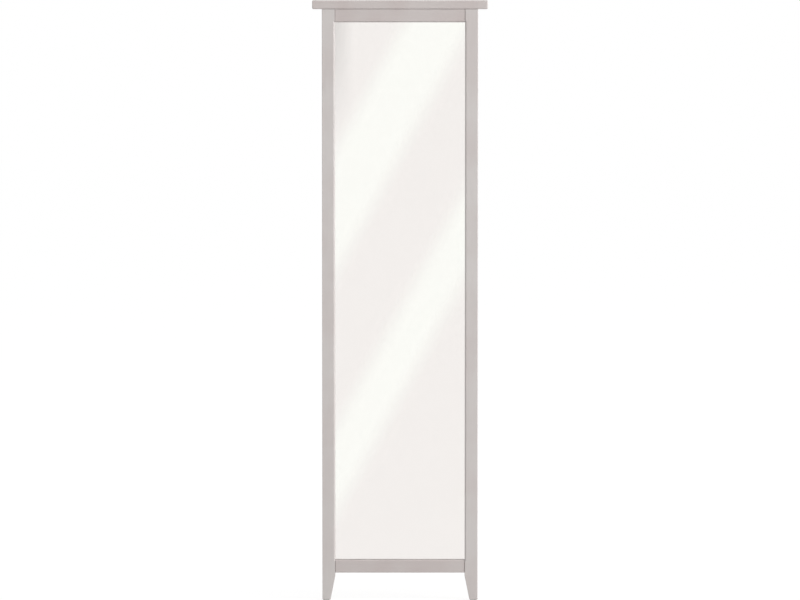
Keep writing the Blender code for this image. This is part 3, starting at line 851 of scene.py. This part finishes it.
def float_glass(name, settings):
    """Clear glass that turns green in its edges."""
    material, tree, shader, place = start_material(name)
    low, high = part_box("mirror_glass")
    middle = (low + high) / 2
    parts = parts_of(tree, place)
    rims = []
    for axis in (AXIS_X, AXIS_Z):
        away = away_from(tree, parts[axis], middle[axis])
        reach = high[axis] - middle[axis]
        rims.append(between(tree, away, low=reach - GLASS_RIM, high=reach))
    colour = blend(tree, compute(tree, "MAXIMUM", *rims), opaque(WHITE), opaque(settings.glass_edge))
    tree.links.new(colour, shader.inputs["Base Color"])
    shader.inputs["Roughness"].default_value = 0.0
    shader.inputs["IOR"].default_value = GLASS_IOR
    shader.inputs["Transmission Weight"].default_value = 1.0
    return material


def mirror_silver(name, settings):
    """The silver coat, with the faint unevenness of a wet-poured film."""
    material, tree, shader, place = start_material(name)
    film = noise(tree, place, spots=5.0, detail=2.0)
    colour = shades(tree, film, settings.silver, dark=0.994, light=1.006)
    feed(tree, shader, colour, between(tree, film, low=0.3, high=0.7, start=0.004, end=0.012))
    shader.inputs["Metallic"].default_value = 1.0
    return material


def fibreboard(name, settings):
    """Raw brown fibreboard: pressed fibres, light and dark, in cloudy patches."""
    material, tree, shader, place = start_material(name)
    clouds = between(tree, noise(tree, place, spots=14.0, detail=4.0), low=0.3, high=0.7)
    upright = streaks(tree, place, counts=(1600.0, 600.0, 260.0), roughness=0.65)
    level = streaks(tree, place, counts=(240.0, 600.0, 1500.0), roughness=0.65)
    fibres = between(tree, compute(tree, "MAXIMUM", upright, level), low=0.48, high=0.75)
    ground = shades(tree, clouds, settings.board, dark=0.86, light=1.08)
    colour = blend(tree, fibres, ground, opaque(settings.fibre))
    feed(tree, shader, colour, between(tree, fibres, low=0.0, high=1.0, start=0.62, end=0.80))
    emboss(tree, shader, fibres, strength=0.25, distance=0.0002)
    return material


def beech_wood(name, settings):
    """Raw beech with its short dark flecks."""
    material, tree, shader, place = start_material(name)
    grain = streaks(tree, place, counts=(300.0, 900.0, 300.0), detail=4.0)
    flecks = between(tree, noise(tree, place, spots=1400.0, detail=1.0), low=0.62, high=0.72)
    ground = shades(tree, grain, settings.beech, dark=0.85, light=1.12)
    colour = blend(tree, flecks, ground, opaque(settings.beech, level=0.55))
    feed(tree, shader, colour, between(tree, grain, low=0.2, high=0.8, start=0.55, end=0.72))
    emboss(tree, shader, grain, strength=0.2, distance=0.0002)
    return material


def zinc(name, settings):
    """Bright zinc plating: a soft bluish mottle and fine rolling marks."""
    if name in bpy.data.materials:
        return bpy.data.materials[name]
    material, tree, shader, place = start_material(name)
    mottle = between(tree, noise(tree, place, spots=260.0), low=0.3, high=0.7)
    marks = streaks(tree, place, counts=(90.0, 2600.0, 2600.0))
    colour = shades(tree, mottle, settings.zinc, dark=0.88, light=1.12)
    feed(tree, shader, colour, between(tree, marks, low=0.3, high=0.7, start=0.24, end=0.40))
    shader.inputs["Metallic"].default_value = 1.0
    emboss(tree, shader, marks, strength=0.10, distance=0.00005)
    return material


def felt(name, settings):
    """Needle felt: matted fibres of several greys."""
    if name in bpy.data.materials:
        return bpy.data.materials[name]
    material, tree, shader, place = start_material(name)
    across = streaks(tree, place, counts=(700.0, 2800.0, 2000.0), roughness=0.7)
    along = streaks(tree, place, counts=(2800.0, 700.0, 2000.0), roughness=0.7)
    fibres = between(tree, compute(tree, "MAXIMUM", across, along), low=0.4, high=0.8)
    colour = shades(tree, fibres, settings.felt, dark=0.8, light=1.3)
    feed(tree, shader, colour, between(tree, fibres, low=0.0, high=1.0, start=0.9, end=1.0))
    shader.inputs["Sheen Weight"].default_value = 0.3
    emboss(tree, shader, fibres, strength=0.8, distance=0.0004)
    return material


def foam(name, settings):
    """Closed-cell foam with fine round cells."""
    material, tree, shader, place = start_material(name)
    cells = add_node(tree, "ShaderNodeTexVoronoi", {"Vector": place, "Scale": 1800.0}).outputs["Distance"]
    tone = noise(tree, place, spots=60.0, detail=2.0)
    colour = shades(tree, tone, settings.foam, dark=0.92, light=1.05)
    feed(tree, shader, colour, between(tree, cells, low=0.0, high=0.6, start=0.95, end=0.75))
    emboss(tree, shader, cells, strength=0.4, distance=0.0002)
    return material


def rubber(name, settings):
    """Dark soft rubber with a faint bloom."""
    material, tree, shader, place = start_material(name)
    bloom = noise(tree, place, spots=500.0, detail=4.0, roughness=0.6)
    colour = shades(tree, bloom, settings.rubber, dark=0.8, light=1.6)
    feed(tree, shader, colour, between(tree, bloom, low=0.3, high=0.7, start=0.70, end=0.88))
    emboss(tree, shader, bloom, strength=0.2, distance=0.0001)
    return material


# Stage


def glow(tree, colour, strength=1.0):
    """A shader that shines evenly."""
    return add_node(tree, "ShaderNodeEmission", {"Color": opaque(colour), "Strength": strength})


def either(tree, share, first, second):
    """The first shader where the share is 0 and the second where it is 1."""
    inputs = {0: share, 1: first.outputs[0], 2: second.outputs[0]}
    return add_node(tree, "ShaderNodeMixShader", inputs)


def show(tree, output, shader):
    """Make a shader the surface of a material or of the world."""
    tree.links.new(shader.outputs[0], tree.nodes[output].inputs["Surface"])


def seen_directly(tree, path):
    """1 for rays from the camera, off gloss or through glass, and 0 for the light on surfaces."""
    through = compute(tree, "MAXIMUM", path["Is Glossy Ray"], path["Is Transmission Ray"])
    return compute(tree, "MAXIMUM", path["Is Camera Ray"], through)


def light_world(scene, settings):
    """Even light from all round, before a white background."""
    world = bpy.data.worlds.new("studio_world")
    world.use_nodes = True
    scene.world = world
    tree = world.node_tree
    soft = tree.nodes["Background"]
    soft.inputs["Color"].default_value = opaque(WHITE)
    soft.inputs["Strength"].default_value = settings.ambient
    white = add_node(tree, "ShaderNodeBackground", {"Color": opaque(WHITE), "Strength": 1.0})
    path = add_node(tree, "ShaderNodeLightPath").outputs
    show(tree, "World Output", either(tree, seen_directly(tree, path), soft, white))


def light_key(scene, settings):
    """A soft box at the upper right, far enough away to light the panel evenly."""
    lamp = bpy.data.lights.new("soft_box", "AREA")
    lamp.energy = settings.key_power
    lamp.size = KEY_SIZE
    key = bpy.data.objects.new("soft_box", lamp)
    key.location = KEY_PLACE
    aim = Vector((0.0, 0.0, settings.aim_height))
    key.rotation_euler = (aim - KEY_PLACE).to_track_quat("-Z", "Y").to_euler()
    key.visible_camera = False
    scene.collection.objects.link(key)


def stage_plane(scene, name, material, turn, scale, place):
    """A plane of the stage, with its place in its mesh."""
    bm = bmesh.new()
    bmesh.ops.create_grid(bm, x_segments=1, y_segments=1, size=0.5)
    bmesh.ops.scale(bm, vec=(*scale, 1.0), verts=bm.verts)
    bmesh.ops.rotate(bm, verts=bm.verts, matrix=Matrix.Rotation(turn, 3, "X"))
    bmesh.ops.translate(bm, vec=place, verts=bm.verts)
    mesh = bpy.data.meshes.new(name)
    bm.to_mesh(mesh)
    bm.free()
    mesh.materials.append(material)
    plane = bpy.data.objects.new(name, mesh)
    scene.collection.objects.link(plane)
    return plane


def floor_material(settings):
    """A pale floor that meets the white background, and keeps the shadow where the camera sees it."""
    material, tree, shader, place = start_material("pale_floor")
    specks = noise(tree, place, spots=300.0, detail=2.0)
    ground = shades(tree, specks, settings.floor, dark=0.99, light=1.01)
    feed(tree, shader, ground, between(tree, specks, low=0.0, high=1.0, start=0.85, end=0.95))
    shader.inputs["Specular IOR Level"].default_value = 0.0
    veil = add_node(tree, "ShaderNodeBsdfDiffuse", {"Color": opaque(WHITE, FLOOR_SHARE)})
    base = glow(tree, WHITE, FLOOR_GLOW)
    shaded = add_node(tree, "ShaderNodeAddShader", {0: base.outputs[0], 1: veil.outputs[0]})
    path = add_node(tree, "ShaderNodeLightPath").outputs
    pale = either(tree, path["Is Camera Ray"], glow(tree, WHITE), shaded)
    show(tree, "Material Output", either(tree, seen_directly(tree, path), shader, pale))
    return material


def camera_place(settings):
    """Where the camera stands, straight before the panel and a little above its middle."""
    back = settings.camera_distance * math.cos(settings.camera_tilt)
    up = settings.camera_distance * math.sin(settings.camera_tilt)
    return Vector((0.0, -back, settings.aim_height + up))


def card_material(settings):
    """Two slanting strips of light with soft edges and a dim corner, on a card that is clear elsewhere."""
    material, tree, shader, place = start_material("strip_lights")
    tree.nodes.remove(shader)
    eye = camera_place(settings)
    shrink = 1 / (1 - CARD_DISTANCE / eye.y)
    lift = eye.z * (1 - shrink)
    parts = parts_of(tree, place)
    across = compute(tree, "MULTIPLY", parts["X"], shrink)
    up = compute(tree, "ADD", compute(tree, "MULTIPLY", parts["Z"], shrink), lift)
    above_aim = compute(tree, "SUBTRACT", up, settings.aim_height)
    along = compute(tree, "SUBTRACT", across, compute(tree, "MULTIPLY", above_aim, STRIP_SLANT))
    strips = []
    for middle, width in STRIPS:
        full = (width - STRIP_BLUR) / 2
        faded = (width + STRIP_BLUR) / 2
        away = away_from(tree, along, middle)
        strips.append(between(tree, away, low=full, high=faded, start=1.0, end=0.0, smooth=True))
    corner = compute(tree, "MULTIPLY", between(tree, across, *DIM_ACROSS, smooth=True),
                     between(tree, up, *DIM_UP, smooth=True))
    clear = add_node(tree, "ShaderNodeBsdfTransparent")
    ground = either(tree, corner, clear, glow(tree, WHITE, DIM_LEVEL))
    lit = either(tree, compute(tree, "MAXIMUM", *strips), ground, glow(tree, settings.strip_light))
    show(tree, "Material Output", lit)
    return material


def hang_cards(scene, settings):
    """The cards with the strips of light, in an arc before the mirror and seen only in reflections."""
    material = card_material(settings)
    place = (0.0, -CARD_DISTANCE, settings.aim_height)
    for number, turn in enumerate(CARD_TURNS, 1):
        card = stage_plane(scene, f"strip_card_{number}", material, RIGHT_ANGLE, CARD_SIZE, place)
        card.rotation_euler.z = turn
        card.visible_camera = False
        card.visible_diffuse = False
        card.visible_shadow = False


def place_camera(scene, settings):
    """A camera straight before the panel that looks down a little."""
    camera = bpy.data.objects.new("camera", bpy.data.cameras.new("camera"))
    camera.data.sensor_width = SENSOR_WIDTH
    camera.data.lens = settings.lens
    camera.location = camera_place(settings)
    camera.rotation_euler = (RIGHT_ANGLE - settings.camera_tilt, 0.0, 0.0)
    scene.collection.objects.link(camera)
    scene.camera = camera


# Operators


class MIRRORPANEL_OT_stiles(bpy.types.Operator):
    """Build the two painted stiles"""

    bl_idname = "mirror_panel.stiles"
    bl_label = "Stiles"

    def execute(self, context):
        for side in SIDES:
            build_stile(side, settings_of(context).frame)
        return {"FINISHED"}


class MIRRORPANEL_OT_rails(bpy.types.Operator):
    """Build the two painted rails"""

    bl_idname = "mirror_panel.rails"
    bl_label = "Rails"

    def execute(self, context):
        for word in ("top", "bottom"):
            build_rail(word, settings_of(context).frame)
        return {"FINISHED"}


class MIRRORPANEL_OT_cap(bpy.types.Operator):
    """Build the painted cap board"""

    bl_idname = "mirror_panel.cap"
    bl_label = "Cap board"

    def execute(self, context):
        build_cap(settings_of(context).frame)
        return {"FINISHED"}


class MIRRORPANEL_OT_mirror(bpy.types.Operator):
    """Finish the pane, its silver coat, and the tape and blocks that hold it"""

    bl_idname = "mirror_panel.mirror"
    bl_label = "Mirror"

    def execute(self, context):
        settings = settings_of(context).mirror
        finish_nodes(["mirror_glass"], float_glass("float_glass", settings))
        finish_nodes(["mirror_silver_backing"], mirror_silver("mirror_silver", settings))
        finish_nodes(nodes_starting("mounting_tape"), foam("foam_tape", settings))
        finish_nodes(nodes_starting("setting_block"), rubber("setting_rubber", settings))
        return {"FINISHED"}


class MIRRORPANEL_OT_back(bpy.types.Operator):
    """Finish the back board and the dowels"""

    bl_idname = "mirror_panel.back"
    bl_label = "Back board and dowels"

    def execute(self, context):
        settings = settings_of(context).back
        finish_nodes(["back_panel"], fibreboard("raw_fibreboard", settings))
        dowels = nodes_starting("rail_dowel") + nodes_starting("cap_dowel")
        finish_nodes(dowels, beech_wood("raw_beech", settings))
        return {"FINISHED"}


class MIRRORPANEL_OT_screws(bpy.types.Operator):
    """Build the screws of the back board and of the keyhole plates"""

    bl_idname = "mirror_panel.screws"
    bl_label = "Screws"

    def execute(self, context):
        for node in nodes_starting("back_screw") + nodes_starting("hanger_screw"):
            build_screw(node, settings_of(context).back)
        return {"FINISHED"}


class MIRRORPANEL_OT_plates(bpy.types.Operator):
    """Build the two keyhole plates"""

    bl_idname = "mirror_panel.plates"
    bl_label = "Keyhole plates"

    def execute(self, context):
        for side in SIDES:
            build_plate(side, settings_of(context).back)
        return {"FINISHED"}


class MIRRORPANEL_OT_pads(bpy.types.Operator):
    """Build the felt pads under the feet"""

    bl_idname = "mirror_panel.pads"
    bl_label = "Felt pads"

    def execute(self, context):
        for side in SIDES:
            build_pad(side, settings_of(context).back)
        return {"FINISHED"}


class MIRRORPANEL_OT_stage(bpy.types.Operator):
    """Set up the floor, the light, the strips that the mirror shows, and the camera"""

    bl_idname = "mirror_panel.stage"
    bl_label = "Stage"

    def execute(self, context):
        settings = settings_of(context).stage
        scene = context.scene
        scene.view_settings.view_transform = "Standard"
        light_world(scene, settings)
        light_key(scene, settings)
        size = (FLOOR_SIZE, FLOOR_SIZE)
        stage_plane(scene, "floor", floor_material(settings), 0.0, size, (0.0, 0.0, 0.0))
        hang_cards(scene, settings)
        place_camera(scene, settings)
        return {"FINISHED"}


OPERATORS = (
    MIRRORPANEL_OT_stiles,
    MIRRORPANEL_OT_rails,
    MIRRORPANEL_OT_cap,
    MIRRORPANEL_OT_mirror,
    MIRRORPANEL_OT_back,
    MIRRORPANEL_OT_screws,
    MIRRORPANEL_OT_plates,
    MIRRORPANEL_OT_pads,
    MIRRORPANEL_OT_stage,
)


class MIRRORPANEL_PT_sidebar(bpy.types.Panel):
    """Buttons and settings of the mirror panel"""

    bl_idname = "MIRRORPANEL_PT_sidebar"
    bl_label = "Hallway Mirror Panel"
    bl_space_type = "VIEW_3D"
    bl_region_type = "UI"
    bl_category = "Mirror Panel"

    def draw(self, context):
        for operator in OPERATORS:
            self.layout.operator(operator.bl_idname)
        settings = settings_of(context)
        for group in (settings.frame, settings.mirror, settings.back, settings.stage):
            column = self.layout.box().column()
            for name in group.__annotations__:
                column.prop(group, name)


CLASSES = (
    FrameSettings,
    MirrorSettings,
    BackSettings,
    StageSettings,
    MirrorPanelSettings,
    *OPERATORS,
    MIRRORPANEL_PT_sidebar,
)


def register():
    """Register the classes and attach the settings to the scene."""
    for item in CLASSES:
        bpy.utils.register_class(item)
    bpy.types.Scene.mirror_panel = bpy.props.PointerProperty(type=MirrorPanelSettings)


def unregister():
    """Detach the settings and unregister the classes."""
    del bpy.types.Scene.mirror_panel
    for item in reversed(CLASSES):
        bpy.utils.unregister_class(item)


def main():
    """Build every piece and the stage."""
    register()
    bpy.ops.mirror_panel.stiles()
    bpy.ops.mirror_panel.rails()
    bpy.ops.mirror_panel.cap()
    bpy.ops.mirror_panel.mirror()
    bpy.ops.mirror_panel.back()
    bpy.ops.mirror_panel.screws()
    bpy.ops.mirror_panel.plates()
    bpy.ops.mirror_panel.pads()
    bpy.ops.mirror_panel.stage()


if __name__ == "__main__":
    main()
